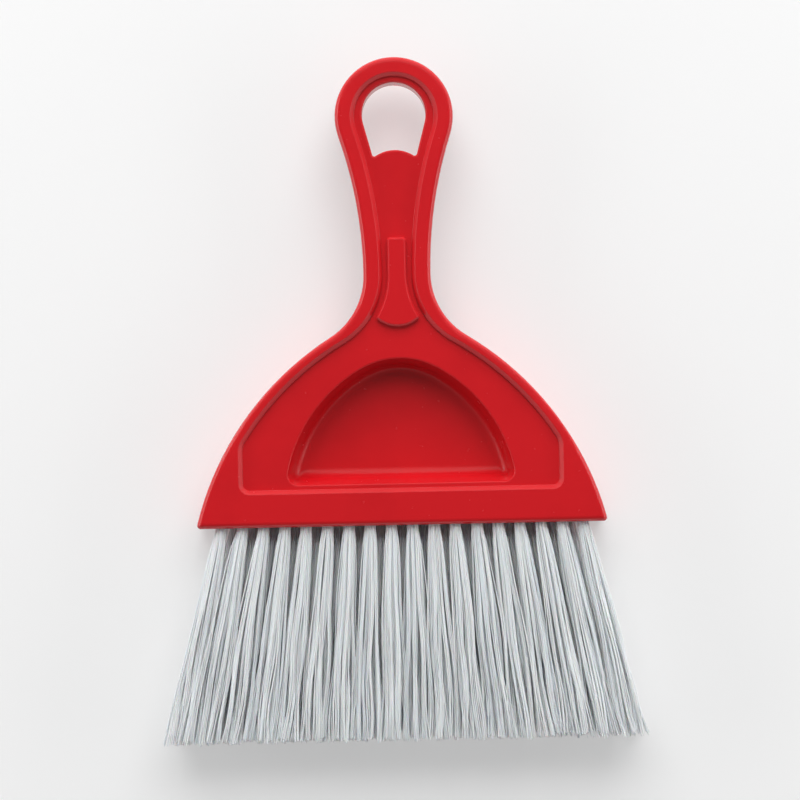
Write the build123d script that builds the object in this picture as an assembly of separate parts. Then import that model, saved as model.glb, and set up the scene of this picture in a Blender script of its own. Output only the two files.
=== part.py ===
from build123d import *
import math
import os

# A fan-shaped hand broom, lying on its back with its front face up.
# X runs across, Y from the tuft face up to the handle, Z from the back to the front.

# Outline of the head and the handle, with the neck's height above the tuft face
head_width = 174.0
shoulder_radius = 130.0
shoulder_centre_drop = 31.0
neck_width = 28.4
neck_height = 106.0
handle_length = 91.6
loop_radius = 25.0
head_corner_radius = 1.5

# Thickness: the back of the head steps up to the thinner handle in two equal arcs
head_thickness = 26.0
handle_thickness = 13.0
back_rise_length = 52.0
back_rise_past_neck = 6.0
front_edge_radius = 2.6

# Walls of the moulding, which is hollow and open at the back
side_wall = 2.2
front_skin = 2.2
rib_thickness = 1.6
rib_setback = 1.5
handle_ribs = 4
head_rib_angles = (20.0, 52.0)
loop_rib_angles = (45.0,)

# Tufts, and the block with the holes that hold them
row_names = ("back", "middle", "front")
row_margin = 5.5
tuft_columns = 18
tuft_margin = 10.5
tuft_hole_radius = 2.6
tuft_hole_depth = 12.0
tuft_sides = 8
root_clearance = 0.05
block_floor = 4.0

# Arched dish in the head, a three-centred arch on a straight foot
dish_above_block = 1.7
dish_height = 52.8
dish_margin = 17.7
dish_side_shift = 15.7
dish_top_inset = 16.3
dish_corner_radius = 4.5
dish_depth = 13.0
dish_wall_slope = 14.0
dish_floor_radius = 5.0
dish_back_bevel = 2.2
dish_lip_radius = 0.8

# Sunk panel on the front, inside the raised bead
panel_depth = 2.4
handle_bead = 8.0
head_bead = 5.2
panel_margin = 20.0
panel_below_dish = 2.1
panel_shoulder_radius = 7.0
panel_foot_radius = 3.0
panel_edge_bevel = 1.5

# Thumb rest standing in the panel, from above the dish to past the neck
thumb_above_dish = 13.4
thumb_past_neck = 15.3
thumb_moat = 2.25
thumb_foot_radius = 13.0
thumb_corner_radius = 1.2
thumb_edge_bevel = 0.7

# Hanging hole through the loop
hang_margin = 3.5
hang_above_loop = 0.9
hang_drop = 18.3
hang_foot_width = 18.2
hang_foot_rise = 3.2
hang_corner_radius = 1.0
hang_edge_bevel = 0.6

# Bristles, fanned out from the tuft face to a straight trim line
bristle_length = 92.0
fan_share = 0.253
depth_fan_share = 0.15
strand_ring = 6
strand_sides = 3
strand_radius = 0.7
strand_inset = 0.15
strand_embed = 0.5
tip_gap = 0.6
trim_raggedness = 2.0
golden_share = 0.618034

# Flat anchors that pin the folded tufts
anchor_thickness = 0.5
anchor_height = 2.4
anchor_seat = 1.5

# Overrun of cuts past the faces that they open, and how near two places count as one
overrun = 1.0
same_place = 0.01

# Places on the outline
handle_top = neck_height + handle_length
loop_centre = (0, handle_top - loop_radius)
shoulder_centre = (
    head_width / 2 - math.sqrt(shoulder_radius**2 - shoulder_centre_drop**2),
    -shoulder_centre_drop,
)
handle_back = head_thickness - handle_thickness

# Places on the front face
block_depth = tuft_hole_depth + block_floor
dish_bottom = block_depth + dish_above_block
dish_top = dish_bottom + dish_height
panel_bottom = dish_bottom - panel_below_dish
panel_width = head_width - 2 * panel_margin
panel_neck = neck_width / 2 - handle_bead
panel_floor = head_thickness - panel_depth
thumb_bottom = dish_top + thumb_above_dish
thumb_top = neck_height + thumb_past_neck
hang_radius = loop_radius - handle_bead - hang_margin
hang_centre_height = loop_centre[1] + hang_above_loop
hang_foot_height = hang_centre_height - hang_drop

# Radii of the dish's arch, and the height of its top arc's centre
dish_half_width = panel_width / 2 - dish_margin
dish_side_radius = dish_half_width + dish_side_shift
dish_top_radius = dish_half_width - dish_top_inset
dish_top_centre = dish_top - dish_top_radius

# Spacing of the tufts and the ring of bristles in each
tuft_pitch = (head_width - 2 * tuft_margin) / (tuft_columns - 1)
row_pitch = (head_thickness - 2 * row_margin) / (len(row_names) - 1)
strand_ring_radius = tuft_hole_radius - root_clearance - strand_inset - strand_radius


def polar(centre, radius, degrees):
    """Point at a radius and angle from a centre."""
    turn = math.radians(degrees)
    return (centre[0] + radius * math.cos(turn), centre[1] + radius * math.sin(turn))


def flare_radius(neck, shoulder):
    """Radius of the arc that stands upright at the neck and touches the shoulder arc."""
    across = neck - shoulder_centre[0]
    up = neck_height - shoulder_centre[1]
    return (across**2 + up**2 - shoulder**2) / (2 * (shoulder - across))


def fan_face(handle_inset, head_inset, foot=0):
    """Face inside the fan outline, moved in on the handle and on the head, down to a foot line."""
    neck = neck_width / 2 - handle_inset
    loop = loop_radius - handle_inset
    shoulder = shoulder_radius - head_inset
    # The waist arc stands upright at the neck and touches the loop
    rise = loop_centre[1] - neck_height
    waist = (neck**2 + rise**2 - loop**2) / (2 * (loop - neck))
    waist_centre = (neck + waist, neck_height)
    waist_end = math.degrees(math.atan2(rise, -waist_centre[0]))
    flare_centre = (neck + flare_radius(neck, shoulder), neck_height)
    up = flare_centre[1] - shoulder_centre[1]
    shoulder_end = math.degrees(math.atan2(up, flare_centre[0] - shoulder_centre[0]))
    shoulder_start = math.degrees(math.asin((foot - shoulder_centre[1]) / shoulder))
    corner = polar(shoulder_centre, shoulder, shoulder_start)
    with BuildSketch() as sketch:
        with BuildLine():
            CenterArc(shoulder_centre, shoulder, shoulder_start, shoulder_end - shoulder_start)
            CenterArc(flare_centre, flare_centre[0] - neck, 180 + shoulder_end, -shoulder_end)
            CenterArc(waist_centre, waist, 180, waist_end - 180)
            mirror(about=Plane.YZ)
            CenterArc(loop_centre, loop, waist_end - 180, 540 - 2 * waist_end)
            Line((-corner[0], foot), corner)
        make_face()
    return sketch.sketch


def upright(face, low, high):
    """Straight wall of a face between two heights."""
    return extrude(Pos(0, 0, low) * face, amount=high - low)


def side_profile(setback=0):
    """Solid under the side view of the moulding, its back moved in by a setback."""
    rise = handle_back
    run = back_rise_length
    rise_end = neck_height + back_rise_past_neck
    rise_start = rise_end - run
    bend = (run**2 + rise**2) / (4 * rise)
    turn = math.degrees(math.asin(run / 2 / bend))
    start = (rise_start, setback)
    middle = ((rise_start + rise_end) / 2, rise / 2 + setback)
    end = (rise_end, rise + setback)
    lower = ThreePointArc(start, polar((rise_start, bend + setback), bend, turn / 2 - 90), middle)
    upper = ThreePointArc(middle, polar((rise_end, end[1] - bend), bend, 90 + turn / 2), end)
    top = handle_top + overrun
    outer = Polyline(end, (top, end[1]), (top, head_thickness), (0, head_thickness), (0, setback), start)
    face = make_face(lower + upper + outer)
    return extrude(Plane.YZ * face, amount=head_width / 2 + overrun, both=True)


def foot_cut(face, radius, bottom):
    """Face cut off below by an arc that swings about the middle line."""
    centre = bottom + radius
    width = 2 * head_width
    below = Pos(0, centre - width / 2) * Rectangle(width, width)
    return face - (below - Pos(0, centre) * Circle(radius))


def panel_face():
    """Sunk panel: the bead's inner line, with upright ends on the head."""
    face = fan_face(handle_bead, head_bead, panel_bottom)
    face = face & Pos(0, handle_top / 2) * Rectangle(panel_width, handle_top)
    ends = [v for v in face.vertices() if math.isclose(abs(v.X), panel_width / 2, abs_tol=same_place)]
    ends.sort(key=lambda v: v.Y)
    face = fillet(ends[2:], panel_shoulder_radius)
    corners = [v for v in face.vertices() if math.isclose(v.Y, panel_bottom, abs_tol=same_place)]
    return fillet(corners, panel_foot_radius)


def thumb_face():
    """Bell-shaped thumb rest, whose sides run beside the panel's edge."""
    stem = panel_neck - thumb_moat
    side = flare_radius(panel_neck, shoulder_radius - head_bead) + thumb_moat
    reach = thumb_foot_radius
    block = Pos(0, (thumb_top + thumb_bottom) / 2) * Rectangle(2 * reach, thumb_top - thumb_bottom)
    lower = Pos(stem + side, neck_height) * Circle(side)
    strip = Pos((reach + stem) / 2, neck_height + thumb_past_neck / 2)
    strip = strip * Rectangle(reach - stem, thumb_past_neck)
    face = block - lower - strip
    face = face - mirror(lower, about=Plane.YZ) - mirror(strip, about=Plane.YZ)
    face = foot_cut(face, thumb_foot_radius, thumb_bottom)
    corners = [v for v in face.vertices() if not math.isclose(v.Y, neck_height, abs_tol=same_place)]
    return fillet(corners, thumb_corner_radius)


def hang_face(grow=0):
    """Hanging hole: a round head on a narrower foot, whose edge bulges up into it."""
    foot = hang_foot_width / 2 + grow
    low = hang_foot_height - grow
    bulge = (foot**2 + hang_foot_rise**2) / (2 * hang_foot_rise)
    outline = (Pos(0, hang_centre_height) * Circle(hang_radius + grow)).edges()
    outline = outline + [Edge.make_line((-foot, low), (foot, low))]
    face = make_hull(outline)
    face = face - Pos(0, low + hang_foot_rise - bulge) * Circle(bulge)
    corners = [v for v in face.vertices() if v.Y < low + hang_foot_rise / 2]
    return fillet(corners, hang_corner_radius)


def dish_face(grow):
    """Arch of the dish, grown all round."""
    side = dish_side_radius + grow
    drop = math.sqrt((dish_side_radius - dish_top_radius) ** 2 - dish_side_shift**2)
    side_centre = (-dish_side_shift, dish_top_centre - drop)
    bottom = dish_bottom - grow
    start = math.degrees(math.asin((bottom - side_centre[1]) / side))
    end = math.degrees(math.atan2(drop, dish_side_shift))
    corner = polar(side_centre, side, start)
    with BuildSketch() as sketch:
        with BuildLine():
            CenterArc(side_centre, side, start, end - start)
            mirror(about=Plane.YZ)
            CenterArc((0, dish_top_centre), dish_top_radius + grow, end, 180 - 2 * end)
            Line((-corner[0], bottom), corner)
        make_face()
        fillet(sketch.vertices().group_by(Axis.Y)[0], dish_corner_radius + grow)
    return sketch.sketch


def dish_form(grow, ease, size):
    """Tapered solid that fills the dish, grown all round, with the edge of its floor eased."""
    mouth = Pos(0, 0, panel_floor) * dish_face(grow)
    form = extrude(mouth, amount=dish_depth + grow, dir=(0, 0, -1), taper=dish_wall_slope)
    form = ease(form.faces().sort_by(Axis.Z)[0].edges(), size)
    return form + upright(dish_face(grow), panel_floor, panel_floor + overrun)


def rib(centre, degrees):
    """Rib that runs outward from a point at an angle, the whole thickness high."""
    wall = Box(head_width, rib_thickness, head_thickness, align=(Align.MIN, Align.CENTER, Align.MIN))
    return Pos(*centre, 0) * Rot(0, 0, degrees) * wall


def ribs():
    """Cross ribs of the handle, and radial ribs of the head and the loop."""
    low = dish_top + front_skin
    high = hang_foot_height - side_wall
    pitch = (high - low) / (handle_ribs + 1)
    cross = Box(head_width, rib_thickness, head_thickness, align=(Align.CENTER, Align.CENTER, Align.MIN))
    walls = [Pos(0, low + (count + 1) * pitch, 0) * cross for count in range(handle_ribs)]
    for height, angles in ((dish_top_centre, head_rib_angles), (hang_centre_height, loop_rib_angles)):
        for angle in angles:
            walls.append(rib((0, height), angle))
            walls.append(rib((0, height), 180 - angle))
    under_dish = upright(dish_face(front_skin), 0, head_thickness)
    return (Part() + walls - under_dish) & side_profile(rib_setback)


def hollow():
    """Space inside the moulding, open at the back."""
    ceiling = panel_floor - front_skin
    space = upright(fan_face(side_wall, side_wall, block_depth), -overrun, ceiling)
    space = space - dish_form(front_skin, chamfer, dish_back_bevel)
    space = space - upright(hang_face(side_wall), -overrun, head_thickness)
    return space - ribs()


def level_faces(body, height):
    """Flat faces at one height, the smallest first."""
    faces = [f for f in body.faces() if f.is_planar]
    faces = [f for f in faces if math.isclose(f.center().Z, height, abs_tol=same_place)]
    return sorted(faces, key=lambda f: f.area)


def panel_lips(body):
    """Inner edges of the panel's floor, from the dish's up to the hanging hole's."""
    return sorted(level_faces(body, panel_floor)[-1].inner_wires(), key=lambda w: w.center().Y)


def moulding():
    """Head, neck and handle in one piece, without the tuft holes."""
    face = fan_face(0, 0)
    corners = [v for v in face.vertices() if math.isclose(v.Y, 0, abs_tol=same_place)]
    face = fillet(corners, head_corner_radius)
    body = upright(face, 0, head_thickness) & side_profile()
    body = fillet(body.faces().sort_by(Axis.Z)[-1].edges(), front_edge_radius)
    thumb = upright(thumb_face(), panel_floor, head_thickness)
    body = body - (upright(panel_face(), panel_floor, head_thickness + overrun) - thumb)
    body = chamfer(level_faces(body, head_thickness)[0].edges(), thumb_edge_bevel)
    bead = level_faces(body, head_thickness)[-1]
    body = chamfer(bead.inner_wires()[0].edges(), panel_edge_bevel)
    body = body - dish_form(0, fillet, dish_floor_radius)
    body = body - upright(hang_face(), -overrun, head_thickness + overrun)
    body = fillet(panel_lips(body)[0].edges(), dish_lip_radius)
    body = chamfer(panel_lips(body)[-1].edges(), hang_edge_bevel)
    return body - hollow()


def tuft_places():
    """Row, number, pitches from the middle and height of each tuft, with every other row set between."""
    places = []
    for row, row_name in enumerate(row_names):
        columns = tuft_columns - row % 2
        for column in range(columns):
            steps = column - (columns - 1) / 2
            places.append((row_name, column + 1, steps, row_margin + row * row_pitch))
    return places


def tuft_plane(across, height):
    """Plane at a tuft's mouth whose normal points out of the tuft face."""
    return Plane(origin=(across, 0, height), x_dir=(1, 0, 0), z_dir=(0, -1, 0))


def anchor(place):
    """Flat anchor across a tuft hole, just above its floor, with its ends against the wall."""
    length = 2 * tuft_hole_radius - root_clearance
    plate = Box(length, anchor_thickness, anchor_height, align=(Align.CENTER, Align.CENTER, Align.MIN))
    return place * Pos(0, 0, anchor_seat - tuft_hole_depth) * plate


def tuft_plug(place, radius, length):
    """Eight-sided plug that stands on the floor of a tuft hole."""
    outline = RegularPolygon(radius, tuft_sides, major_radius=False, rotation=180 / tuft_sides)
    return extrude(place * Pos(0, 0, -tuft_hole_depth) * outline, amount=length)


def strands(steps, height):
    """Bristles of one tuft: one in the middle and a ring round it, all cut near the trim line."""
    side = math.copysign(1, steps)
    across = steps * tuft_pitch
    middle = head_thickness / 2
    tip_across = across * (1 + fan_share)
    tip_height = middle + (height - middle) * (1 + depth_fan_share)
    wide = ((tuft_pitch * (1 + fan_share) - tip_gap) / 2 - strand_radius) / strand_ring_radius
    deep = ((row_pitch * (1 + depth_fan_share) - tip_gap) / 2 - strand_radius) / strand_ring_radius
    bristles = []
    for count in range(strand_ring + 1):
        reach = strand_ring_radius if count else 0
        turn = math.radians(90 + count * 360 / strand_ring + abs(steps) * 360 * golden_share)
        aside = side * reach * math.cos(turn)
        above = reach * math.sin(turn)
        root = Vector(across + aside, 0, height + above)
        tip = Vector(tip_across + aside * wide, -bristle_length, tip_height + above * deep)
        step = (tip - root) / bristle_length
        order = abs(steps) * (strand_ring + 1) + count
        length = bristle_length - trim_raggedness * (order * golden_share % 1)
        base = Plane(origin=root - step * strand_embed, x_dir=(1, 0, 0), z_dir=(0, -1, 0))
        run = step * (strand_embed + length)
        outline = base * RegularPolygon(strand_radius, strand_sides)
        bristles.append(extrude(outline, amount=run.length, dir=run))
    return bristles


def tuft(place, steps, height):
    """Folded bundle in its hole, with its bristles in one piece."""
    root = tuft_plug(place, tuft_hole_radius - root_clearance, tuft_hole_depth)
    return root - anchor(place) + strands(steps, height)


def main():
    os.makedirs("parts", exist_ok=True)
    to_middle = Pos(0, (bristle_length - handle_top) / 2, 0)
    cuts = []
    anchors = {row_name: [] for row_name in row_names}
    for row_name, number, steps, height in tuft_places():
        place = tuft_plane(steps * tuft_pitch, height)
        cuts.append(tuft_plug(place, tuft_hole_radius, tuft_hole_depth + overrun))
        anchors[row_name].append(anchor(place))
        export_step(to_middle * tuft(place, steps, height), f"parts/tuft_{row_name}_{number:02d}.step")
    export_step(to_middle * (moulding() - cuts), "parts/body.step")
    for row_name, plates in anchors.items():
        export_step(to_middle * (Part() + plates), f"parts/anchors_{row_name}.step")


if __name__ == "__main__":
    main()
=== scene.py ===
import math

import bpy
import numpy as np
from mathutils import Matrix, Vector


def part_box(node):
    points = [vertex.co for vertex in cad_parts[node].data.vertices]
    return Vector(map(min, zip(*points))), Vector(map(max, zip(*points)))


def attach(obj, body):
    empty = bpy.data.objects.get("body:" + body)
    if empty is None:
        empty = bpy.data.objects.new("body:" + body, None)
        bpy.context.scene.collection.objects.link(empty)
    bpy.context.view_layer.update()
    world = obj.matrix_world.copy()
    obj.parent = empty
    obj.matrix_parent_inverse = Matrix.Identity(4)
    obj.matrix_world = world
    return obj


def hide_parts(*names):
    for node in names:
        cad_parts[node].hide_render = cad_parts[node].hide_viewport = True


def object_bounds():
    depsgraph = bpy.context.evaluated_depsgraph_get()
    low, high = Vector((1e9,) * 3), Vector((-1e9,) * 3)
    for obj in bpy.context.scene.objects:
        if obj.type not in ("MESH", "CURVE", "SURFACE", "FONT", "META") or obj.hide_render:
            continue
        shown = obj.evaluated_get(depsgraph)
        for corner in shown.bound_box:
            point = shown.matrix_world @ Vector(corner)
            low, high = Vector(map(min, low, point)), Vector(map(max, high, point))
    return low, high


# A hand broom of glossy red plastic with white bristles, lying on its back and seen from above.
# Everything is in metres: X runs across, Y from the trim line up to the handle, Z from the back to the front.

# Bristles of one tuft, each folded in two round the anchor
folds_per_tuft = 60
leg_rings = 13
fold_rings = 5
strand_sides = 4
strand_radius = 0.00023
radius_spread_share = 0.15
tip_share = 0.7
tip_length_share = 0.004
bundle_radius = 0.0022
jitter_share = 0.25

# How the bristles part between the block and the trim line
tip_spread = (0.0068, 0.0042)
clumps = 16
clump_reach_share = 0.95
clump_share = 0.58
flare_power = 0.62
clump_wave = 0.0009
strand_wave = 0.0003
wave_turns = (0.5, 1.9)
stray_share = 0.16
stray_reach = 0.0016
trim_raggedness = 0.0013
clump_raggedness = 0.0022
middle_tone = 0.5
clump_tone = 0.20
strand_tone = 0.15
seed = 7

# The root of a CAD tuft is read this close to its top, and its cut end this close to its foot
same_depth = 0.0001
trim_band = 0.0035

# Camera
camera_lens = 0.100
sensor_width = 0.036
frame_share = 0.86
camera_roll = 1.2
mm_per_m = 1000

# Lamps, each with its place, power, width, height and whether gloss mirrors it
key_place = (0.07, 1.45, 1.15)
lamps = {
    "key": (key_place, 33.0, 2.20, 1.70, False),
    "shine": (key_place, 12.0, 1.80, 1.10, True),
    "left": ((-0.94, 0.10, 0.36), 1.9, 0.90, 0.18, True),
    "right": ((0.94, 0.00, 0.36), 1.7, 0.90, 0.18, True),
}

# White walls all round and a dim ceiling, with the sines of the heights between which they meet
wall_strength = 0.92
ceiling_strength = 0.14
wall_top = 0.14
ceiling_edge = 0.46

floor_size = 8.0
floor_drop = 0.0002
floor_roughness = 0.7
# The floor turns plain white between these distances from its middle, where the broom lies
floor_fade = (0.2, 0.8)
# Share of plain white near the broom, where the rest shows its shadow
near_white = 0.35

# Moulding: fillets are shaded smooth up to this angle, and sharper edges look rounded by this much
smooth_angle = 38.0
edge_round = 0.0005
edge_samples = 8
# Painted highlight: along an edge the colour turns paler by up to a share, as the cosine of its rounding
# falls
highlight_cosines = (0.995, 0.90)
painted_highlight_share = 0.3
weld_distance = 0.000001
face_size_weight = 70

# Red plastic: the scale and detail of its flow marks, its unevenness and its grain
flow_noise = (26.0, 3.0)
peel_noise = (340.0, 2.0)
grain_noise = (2600.0, 2.0)
flow_stops = (0.25, 0.55)
plastic_roughness = (0.20, 0.30)
peel_height = 0.00002
grain_height = 0.000005
plastic_bump = 0.25
plastic_specular = 0.5
plastic_ior = 1.5
coat_weight = 0.2
coat_roughness = 0.14

# Bristle: streaks drawn out along its length
streak_noise = (700.0, 2.0)
streak_stretch = (1, 0.06, 1)
streak_share = 0.2
tone_stops = (0.20, 0.65)
bristle_roughness = (0.28, 0.46)
bristle_subsurface = 0.12
bristle_subsurface_depth = 0.0008

# Steel: brushing drawn out along the strip
brushing_noise = (900.0, 3.0)
brushing_stretch = (0.05, 1, 1)
brushing_stops = (0.3, 0.7)
steel_roughness = (0.25, 0.45)

red = (0.655, 0.0080, 0.0135, 1)
deep_red = (0.58, 0.0060, 0.0110, 1)
# Pale red painted along the edges as a highlight
painted_highlight_red = (0.84, 0.075, 0.090, 1)
bristle_white = (0.965, 0.98, 0.99, 1)
bristle_grey = (0.90, 0.93, 0.96, 1)
steel_light = (0.62, 0.62, 0.62, 1)
steel_dark = (0.38, 0.38, 0.39, 1)
floor_white = (0.93, 0.93, 0.93, 1)
plain_white = (1, 1, 1, 1)

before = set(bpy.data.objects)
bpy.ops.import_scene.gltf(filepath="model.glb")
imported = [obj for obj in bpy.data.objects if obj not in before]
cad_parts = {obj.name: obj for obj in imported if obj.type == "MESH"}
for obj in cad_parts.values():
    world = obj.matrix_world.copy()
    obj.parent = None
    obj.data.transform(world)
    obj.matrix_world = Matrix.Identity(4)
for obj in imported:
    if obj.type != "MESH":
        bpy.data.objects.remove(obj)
cad_low, cad_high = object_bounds()
face_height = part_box("body")[0].y


def node_tree(material):
    """Empty node tree of a material, with its output and its Principled shader."""
    material.use_nodes = True
    nodes = material.node_tree.nodes
    nodes.clear()
    shader = nodes.new("ShaderNodeBsdfPrincipled")
    output = nodes.new("ShaderNodeOutputMaterial")
    material.node_tree.links.new(shader.outputs["BSDF"], output.inputs["Surface"])
    return material.node_tree, shader


def add_noise(tree, scale, detail, stretch=(1, 1, 1)):
    """Noise over the object's own coordinates, stretched along its axes."""
    coordinates = tree.nodes.new("ShaderNodeTexCoord")
    mapping = tree.nodes.new("ShaderNodeMapping")
    mapping.inputs["Scale"].default_value = stretch
    noise = tree.nodes.new("ShaderNodeTexNoise")
    noise.inputs["Scale"].default_value = scale
    noise.inputs["Detail"].default_value = detail
    tree.links.new(coordinates.outputs["Object"], mapping.inputs["Vector"])
    tree.links.new(mapping.outputs["Vector"], noise.inputs["Vector"])
    return noise.outputs["Fac"]


def add_ramp(tree, value, stops):
    """Colour ramp over a value, with its two stops as (place, colour)."""
    ramp = tree.nodes.new("ShaderNodeValToRGB")
    for element, (place, colour) in zip(ramp.color_ramp.elements, stops):
        element.position = place
        element.color = colour
    tree.links.new(value, ramp.inputs["Fac"])
    return ramp.outputs["Color"]


def add_range(tree, value, low, high, start=0.0, end=1.0):
    """Value spread from one pair of limits to another."""
    spread = tree.nodes.new("ShaderNodeMapRange")
    spread.inputs["From Min"].default_value = start
    spread.inputs["From Max"].default_value = end
    spread.inputs["To Min"].default_value = low
    spread.inputs["To Max"].default_value = high
    tree.links.new(value, spread.inputs["Value"])
    return spread.outputs["Result"]


def add_math(tree, operation, first, second):
    """Arithmetic on two values, each a socket or a number."""
    node = tree.nodes.new("ShaderNodeMath")
    node.operation = operation
    for socket, value in zip(node.inputs, (first, second)):
        if isinstance(value, (int, float)):
            socket.default_value = value
        else:
            tree.links.new(value, socket)
    return node.outputs["Value"]


def add_mix(tree, share, first, second):
    """Blend of two colours, the second a plain one."""
    mix = tree.nodes.new("ShaderNodeMix")
    mix.data_type = "RGBA"
    tree.links.new(share, mix.inputs["Factor"])
    tree.links.new(first, mix.inputs["A"])
    mix.inputs["B"].default_value = second
    return mix.outputs["Result"]


def add_bump(tree, value, distance, strength, normal):
    """Bump from a height value, over an earlier normal."""
    bump = tree.nodes.new("ShaderNodeBump")
    bump.inputs["Distance"].default_value = distance
    bump.inputs["Strength"].default_value = strength
    tree.links.new(value, bump.inputs["Height"])
    tree.links.new(normal, bump.inputs["Normal"])
    return bump.outputs["Normal"]


def add_rounding(tree, radius):
    """Normal that rounds sharp edges, and how far a painted highlight turns their colour paler, from 0 on a
    flat.
    """
    rounded = tree.nodes.new("ShaderNodeBevel")
    rounded.samples = edge_samples
    rounded.inputs["Radius"].default_value = radius
    geometry = tree.nodes.new("ShaderNodeNewGeometry")
    lean = tree.nodes.new("ShaderNodeVectorMath")
    lean.operation = "DOT_PRODUCT"
    tree.links.new(rounded.outputs["Normal"], lean.inputs[0])
    tree.links.new(geometry.outputs["Normal"], lean.inputs[1])
    # Painted highlight: the share of pale red grows where the rounded normal leans away from the flat
    highlight_share = add_range(tree, lean.outputs["Value"], 0.0, painted_highlight_share, *highlight_cosines)
    return rounded.outputs["Normal"], highlight_share


def gloss_plastic():
    """Injection-moulded plastic: even red, soft flow marks, a painted highlight of paler red along the edges
    and a faint grain in the gloss.
    """
    material = bpy.data.materials.new("gloss_red_plastic")
    tree, shader = node_tree(material)
    flow = add_noise(tree, *flow_noise)
    grain = add_noise(tree, *grain_noise)
    peel = add_noise(tree, *peel_noise)
    rounded, highlight_share = add_rounding(tree, edge_round)
    colour = add_ramp(tree, flow, zip(flow_stops, (deep_red, red)))
    # Painted highlight: the edges turn pale red
    colour = add_mix(tree, highlight_share, colour, painted_highlight_red)
    tree.links.new(colour, shader.inputs["Base Color"])
    tree.links.new(add_range(tree, peel, *plastic_roughness), shader.inputs["Roughness"])
    normal = add_bump(tree, peel, peel_height, plastic_bump, rounded)
    normal = add_bump(tree, grain, grain_height, plastic_bump, normal)
    tree.links.new(normal, shader.inputs["Normal"])
    shader.inputs["Specular IOR Level"].default_value = plastic_specular
    shader.inputs["IOR"].default_value = plastic_ior
    shader.inputs["Coat Weight"].default_value = coat_weight
    shader.inputs["Coat Roughness"].default_value = coat_roughness
    return material


def bristle_plastic():
    """Drawn white bristle, in strands that differ in tone."""
    material = bpy.data.materials.new("white_bristle")
    tree, shader = node_tree(material)
    tone = tree.nodes.new("ShaderNodeAttribute")
    tone.attribute_name = "tone"
    streaks = add_noise(tree, *streak_noise, streak_stretch)
    drawn = add_math(tree, "MULTIPLY", streaks, streak_share)
    blend = add_math(tree, "ADD", tone.outputs["Fac"], drawn)
    colour = add_ramp(tree, blend, zip(tone_stops, (bristle_grey, bristle_white)))
    tree.links.new(colour, shader.inputs["Base Color"])
    tree.links.new(add_range(tree, streaks, *bristle_roughness), shader.inputs["Roughness"])
    shader.inputs["Subsurface Weight"].default_value = bristle_subsurface
    shader.inputs["Subsurface Scale"].default_value = bristle_subsurface_depth
    return material


def anchor_steel():
    """Flat steel strip, brushed along its length."""
    material = bpy.data.materials.new("brushed_steel")
    tree, shader = node_tree(material)
    brushing = add_noise(tree, *brushing_noise, brushing_stretch)
    colour = add_ramp(tree, brushing, zip(brushing_stops, (steel_dark, steel_light)))
    tree.links.new(colour, shader.inputs["Base Color"])
    tree.links.new(add_range(tree, brushing, *steel_roughness), shader.inputs["Roughness"])
    shader.inputs["Metallic"].default_value = 1.0
    return material


def give(piece, material):
    """The piece wears one material all over."""
    piece.data.materials.clear()
    piece.data.materials.append(material)


def dress_body(material):
    """The moulding keeps its CAD mesh, welded, and shaded smooth across its fillets."""
    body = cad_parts["body"]
    give(body, material)
    body.modifiers.new("weld", "WELD").merge_threshold = weld_distance
    for polygon in body.data.polygons:
        polygon.use_smooth = True
    sharp = body.modifiers.new("sharp", "EDGE_SPLIT")
    sharp.split_angle = math.radians(smooth_angle)
    sharp.use_edge_sharp = False
    weighted = body.modifiers.new("weighted", "WEIGHTED_NORMAL")
    weighted.weight = face_size_weight
    weighted.keep_sharp = True


def tuft_line(node):
    """Centres of a tuft's root and of its cut end, read from its CAD node."""
    points = np.array([v.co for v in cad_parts[node].data.vertices])
    heights = points[:, 1]
    root = points[heights > heights.max() - same_depth].mean(axis=0)
    end = points[heights < heights.min() + trim_band].mean(axis=0)
    return root, end


def disc_points(count, radius, draw):
    """Even points in a disc, turned by chance, with a little jitter."""
    golden_turn = math.pi * (3 - math.sqrt(5))
    steps = np.arange(count)
    turn = steps * golden_turn + draw.uniform(0, 2 * math.pi)
    reach = np.sqrt((steps + 0.5) / count)
    points = np.stack([reach * np.cos(turn), reach * np.sin(turn)], axis=1)
    points += draw.normal(0, jitter_share / math.sqrt(count), (count, 2))
    outside = np.maximum(1, np.linalg.norm(points, axis=1, keepdims=True))
    return radius * points / outside


def waves(size, count, share, draw):
    """Slow sideways waves that grow from the mouth to the tips."""
    start = draw.uniform(0, 2 * math.pi, (count, 1, 2))
    rate = draw.uniform(*wave_turns, (count, 1, 2)) * 2 * math.pi
    along = share[None, :, None]
    return size * along * np.sin(start + rate * along)


def leg_paths(mouth, end, start, draw):
    """Centre lines of the bristles outside the block, with their tone, from the mouth to the tips."""
    count = len(start)
    share = np.append(np.linspace(0, 1 - tip_length_share, leg_rings - 1), 1)
    # Bristles gather in clumps as they spread
    wanted = start / bundle_radius
    centres = disc_points(clumps, clump_reach_share, draw)
    clump = np.argmin(((wanted[:, None] - centres[None]) ** 2).sum(axis=2), axis=1)
    tips = (wanted * (1 - clump_share) + centres[clump] * clump_share) * np.array(tip_spread)
    stray = draw.random(count) < stray_share
    tips += np.where(stray[:, None], draw.normal(0, stray_reach, (count, 2)), 0)
    lift = draw.uniform(0, clump_raggedness, clumps)[clump] + draw.uniform(0, trim_raggedness, count)
    tone = middle_tone + draw.normal(0, clump_tone, clumps)[clump] + draw.normal(0, strand_tone, count)
    grown = (share**flare_power)[None, :, None]
    aside = start[:, None] * (1 - grown) + tips[:, None] * grown
    aside += waves(clump_wave, clumps, share, draw)[clump] + waves(strand_wave, count, share, draw)
    along = share[None] * (face_height - cad_low.y - lift)[:, None]
    slope = (end - mouth) / (mouth[1] - end[1])
    height = mouth[2] + slope[2] * along + aside[..., 1]
    return np.stack([
        mouth[0] + slope[0] * along + aside[..., 0],
        mouth[1] - along,
        np.maximum(height, cad_low.z + strand_radius),
        np.repeat(tone[:, None], leg_rings, axis=1),
    ], axis=2)


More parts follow.
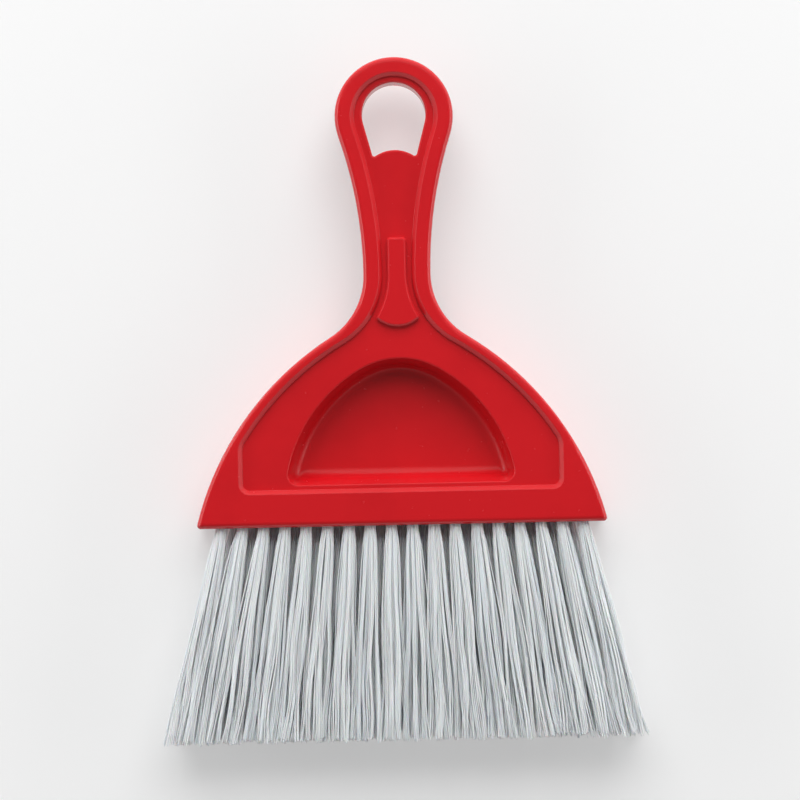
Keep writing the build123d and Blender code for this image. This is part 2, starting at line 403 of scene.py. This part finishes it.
def fold_paths(first, second, seat, floor):
    """Half turns beyond the anchor, each from one leg of a folded bristle to the other."""
    turn = np.linspace(0, math.pi, fold_rings)[None, :, None]
    middle = (first + second)[:, None] / 2
    half = (first - second)[:, None] / 2
    path = middle + half * np.cos(turn)
    wide = np.abs(half[..., 2]) / bundle_radius
    depth = (floor - seat - strand_radius) * np.minimum(1, wide)
    path[..., 1] = seat + depth * np.sin(turn[..., 0])
    return path


def strand_paths(node, draw):
    """Whole centre lines of one tuft's folded bristles as an array of strand, ring and X, Y, Z, tone."""
    root, end = tuft_line(node)
    anchor_low, anchor_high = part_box("anchors_" + node.split("_")[1])
    mouth = np.array([root[0], face_height, root[2]])
    start = disc_points(2 * folds_per_tuft, bundle_radius, draw)
    # One half of the bundle passes the anchor in front, and the other behind
    order = np.argsort(start[:, 1])
    sides = [half[np.argsort(start[half, 0])] for half in (order[:folds_per_tuft], order[folds_per_tuft:])]
    clear = (anchor_high.z - anchor_low.z) / 2 + strand_radius
    start[sides[0], 1] = np.minimum(start[sides[0], 1], -clear)
    start[sides[1], 1] = np.maximum(start[sides[1], 1], clear)
    legs = leg_paths(mouth, end, start, draw)
    back, front = legs[sides[0]], legs[sides[1]]
    folds = fold_paths(back[:, 0], front[:, 0], anchor_high.y, root[1])
    return np.concatenate([back[:, ::-1], folds, front], axis=1)


def tube_points(paths, draw):
    """Rings of points square to each path, thinner at the two cut ends."""
    centres = paths[..., :3]
    count, rings, _ = centres.shape
    ahead = np.gradient(centres, axis=1)
    ahead /= np.linalg.norm(ahead, axis=2, keepdims=True)
    across = np.array([1.0, 0.0, 0.0]) - ahead[..., :1] * ahead
    across /= np.linalg.norm(across, axis=2, keepdims=True)
    upward = np.cross(ahead, across)
    taper = np.ones(rings)
    taper[[0, -1]] = tip_share
    spread = draw.uniform(1 - radius_spread_share, 1 + radius_spread_share, count)
    radii = strand_radius * spread[:, None, None, None] * taper[None, :, None, None]
    turn = draw.uniform(0, 2 * math.pi, count)[:, None] + np.arange(strand_sides) * 2 * math.pi / strand_sides
    turn = turn[:, None, :, None]
    ring = across[:, :, None] * np.cos(turn) + upward[:, :, None] * np.sin(turn)
    return centres[:, :, None] + radii * ring


def tube_faces(count, rings):
    """Faces of closed tubes whose points are numbered by strand, ring and side."""
    faces = []
    for strand in range(count):
        base = strand * rings * strand_sides
        for ring in range(rings - 1):
            low = base + ring * strand_sides
            for side in range(strand_sides):
                after = (side + 1) % strand_sides
                faces.append((low + side, low + after, low + strand_sides + after, low + strand_sides + side))
        last = base + (rings - 1) * strand_sides
        faces.append(tuple(range(base + strand_sides - 1, base - 1, -1)))
        faces.append(tuple(range(last, last + strand_sides)))
    return faces


def strand_mesh(name, paths, faces, draw):
    """All bristles of a tuft in one mesh, with their tone as an attribute."""
    mesh = bpy.data.meshes.new(name)
    mesh.from_pydata(tube_points(paths, draw).reshape(-1, 3).tolist(), [], faces)
    # Each strand's last two faces are its cut ends, which stay flat
    smooth = np.ones((len(paths), len(faces) // len(paths)), dtype=bool)
    smooth[:, -2:] = False
    mesh.polygons.foreach_set("use_smooth", smooth.ravel())
    tone = mesh.attributes.new("tone", "FLOAT", "POINT")
    tone.data.foreach_set("value", np.repeat(paths[..., 3].ravel(), strand_sides))
    mesh.update()
    return mesh


def make_tufts(material):
    """A bundle of fine folded bristles in place of each CAD tuft."""
    tufts = sorted(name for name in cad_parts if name.startswith("tuft_"))
    faces = tube_faces(folds_per_tuft, 2 * leg_rings + fold_rings)
    for order, node in enumerate(tufts):
        draw = np.random.default_rng(seed + order)
        name = node.replace("tuft_", "bristles_")
        piece = bpy.data.objects.new(name, strand_mesh(name, strand_paths(node, draw), faces, draw))
        bpy.context.scene.collection.objects.link(piece)
        give(piece, material)
        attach(piece, "root")
        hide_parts(node)


def add_lamp(name, target):
    """Soft oblong lamp that looks at a point."""
    place, power, width, height, mirrored = lamps[name]
    light = bpy.data.lights.new(name, "AREA")
    light.shape = "RECTANGLE"
    light.energy = power
    light.size = width
    light.size_y = height
    lamp = bpy.data.objects.new(name, light)
    bpy.context.scene.collection.objects.link(lamp)
    lamp.visible_camera = False
    lamp.visible_glossy = mirrored
    lamp.location = place
    lamp.rotation_euler = (target - Vector(place)).to_track_quat("-Z", "Y").to_euler()


def add_far_white(tree, shader):
    """The floor turns plain white away from the broom, to the camera and in reflections."""
    coordinates = tree.nodes.new("ShaderNodeTexCoord")
    reach = tree.nodes.new("ShaderNodeVectorMath")
    reach.operation = "LENGTH"
    tree.links.new(coordinates.outputs["Object"], reach.inputs[0])
    far = add_range(tree, reach.outputs["Value"], near_white, 1.0, *floor_fade)
    ray = tree.nodes.new("ShaderNodeLightPath").outputs
    seen = add_math(tree, "MAXIMUM", ray["Is Camera Ray"], ray["Is Glossy Ray"])
    seen = add_math(tree, "MAXIMUM", seen, ray["Is Transmission Ray"])
    glow = tree.nodes.new("ShaderNodeEmission")
    glow.inputs["Color"].default_value = plain_white
    blend = tree.nodes.new("ShaderNodeMixShader")
    tree.links.new(add_math(tree, "MULTIPLY", far, seen), blend.inputs["Fac"])
    tree.links.new(shader.outputs["BSDF"], blend.inputs[1])
    tree.links.new(glow.outputs["Emission"], blend.inputs[2])
    tree.links.new(blend.outputs["Shader"], tree.nodes["Material Output"].inputs["Surface"])


def make_floor():
    """Pale floor just under the broom."""
    bpy.ops.mesh.primitive_plane_add(size=floor_size, location=(0, 0, cad_low.z - floor_drop))
    floor = bpy.context.object
    floor.name = "floor"
    material = bpy.data.materials.new("pale_floor")
    tree, shader = node_tree(material)
    shader.inputs["Base Color"].default_value = floor_white
    shader.inputs["Roughness"].default_value = floor_roughness
    add_far_white(tree, shader)
    give(floor, material)


def make_world():
    """White walls all round, and a dim ceiling."""
    world = bpy.data.worlds.new("studio")
    bpy.context.scene.world = world
    world.use_nodes = True
    tree = world.node_tree
    background = tree.nodes["Background"]
    background.inputs["Color"].default_value = plain_white
    direction = tree.nodes.new("ShaderNodeTexCoord")
    parts = tree.nodes.new("ShaderNodeSeparateXYZ")
    tree.links.new(direction.outputs["Generated"], parts.inputs["Vector"])
    strength = add_range(tree, parts.outputs["Z"], wall_strength, ceiling_strength, wall_top, ceiling_edge)
    tree.links.new(strength, background.inputs["Strength"])


def make_camera(middle):
    """Camera straight above the broom, with the handle at the top."""
    camera = bpy.data.objects.new("camera", bpy.data.cameras.new("camera"))
    bpy.context.scene.collection.objects.link(camera)
    camera.data.lens = camera_lens * mm_per_m
    camera.data.sensor_width = sensor_width * mm_per_m
    height = cad_high.y - cad_low.y
    distance = height / frame_share * camera_lens / sensor_width
    camera.location = (middle.x, middle.y, cad_high.z + distance)
    camera.rotation_euler = (0, 0, math.radians(-camera_roll))
    bpy.context.scene.camera = camera


def main():
    bpy.context.scene.view_settings.view_transform = "Standard"
    middle = (cad_low + cad_high) / 2
    dress_body(gloss_plastic())
    steel = anchor_steel()
    for row in ("back", "middle", "front"):
        give(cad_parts["anchors_" + row], steel)
    make_tufts(bristle_plastic())
    make_floor()
    make_world()
    for name in lamps:
        add_lamp(name, middle)
    make_camera(middle)


main()
